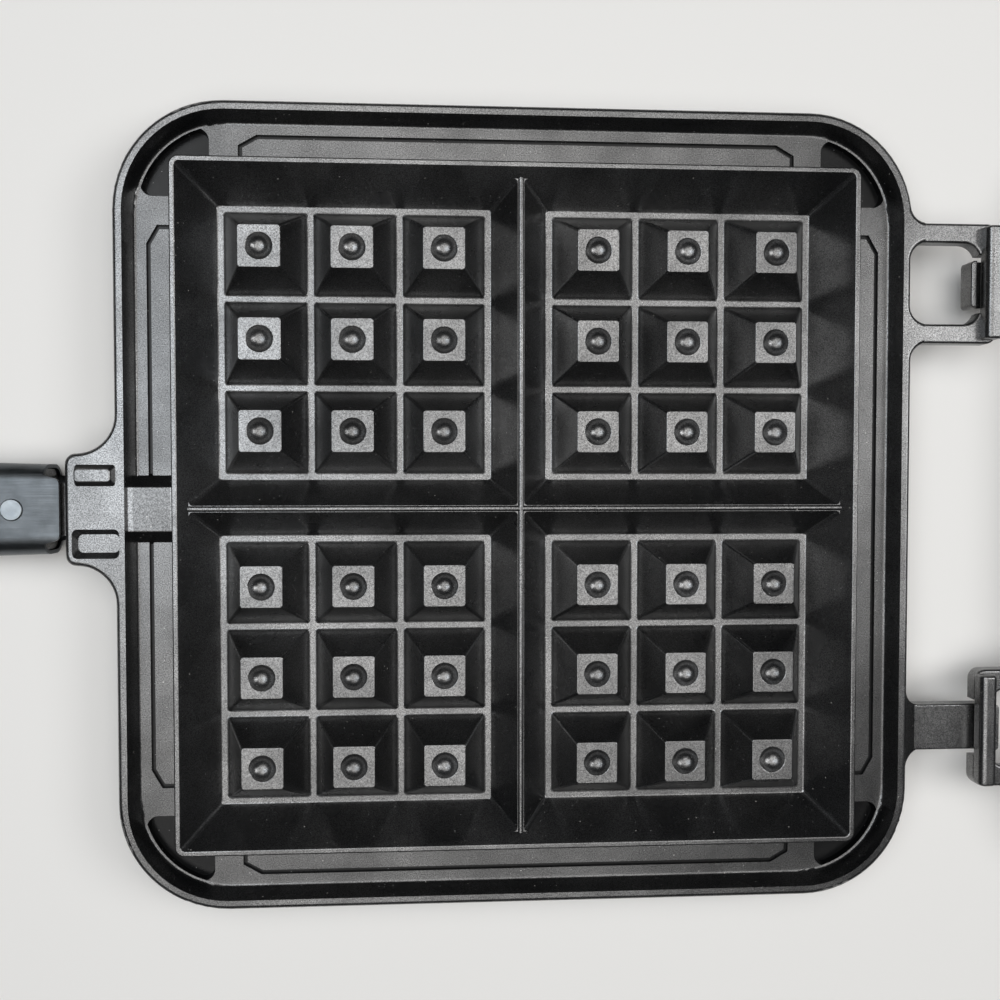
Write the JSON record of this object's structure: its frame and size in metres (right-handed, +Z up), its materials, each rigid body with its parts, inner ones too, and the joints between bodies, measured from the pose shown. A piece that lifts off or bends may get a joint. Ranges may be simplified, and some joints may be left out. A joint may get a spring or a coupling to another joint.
{
  "type": "stovetop waffle iron",
  "caption": "Hand-held waffle iron in two coated cast halves with pegged square compartments, a loop-and-hook hinge, ferruled tangs and moulded grips; shown opened flat.",
  "frame": {"origin": "on the surface the open iron stands on, under the middle of the hinge", "axes": "+X from the lower half's handle through the hinge to the upper half's handle, +Y across the plates, +Z up"},
  "size_m": [0.8046, 0.2, 0.0179],
  "materials": {
    "coated_casting": "die-cast aluminium with a satin black non-stick coating",
    "ferrule_steel": "zinc-plated sheet steel, lightly scuffed",
    "rivet_steel": "plated steel",
    "grip_moulding": "black phenolic moulding",
    "screw_steel": "zinc-plated steel"
  },
  "bodies": {
    "lower_half": {"lower_plate": "coated_casting", "lower_ferrule": "ferrule_steel", "lower_ferrule_rivet": "rivet_steel", "lower_grip": "grip_moulding", "lower_grip_washer": "screw_steel", "lower_grip_screw": "screw_steel"},
    "upper_half": {"upper_plate": "coated_casting", "upper_ferrule": "ferrule_steel", "upper_ferrule_rivet": "rivet_steel", "upper_grip": "grip_moulding", "upper_grip_washer": "screw_steel", "upper_grip_screw": "screw_steel"}
  },
  "joints": [
    {"name": "hinge", "type": "hinge", "parent": "lower_half", "child": "upper_half", "pos_m": [0, 0, 0.0155], "axis": [0, -1, 0], "range_deg": [0, 180]}
  ]
}
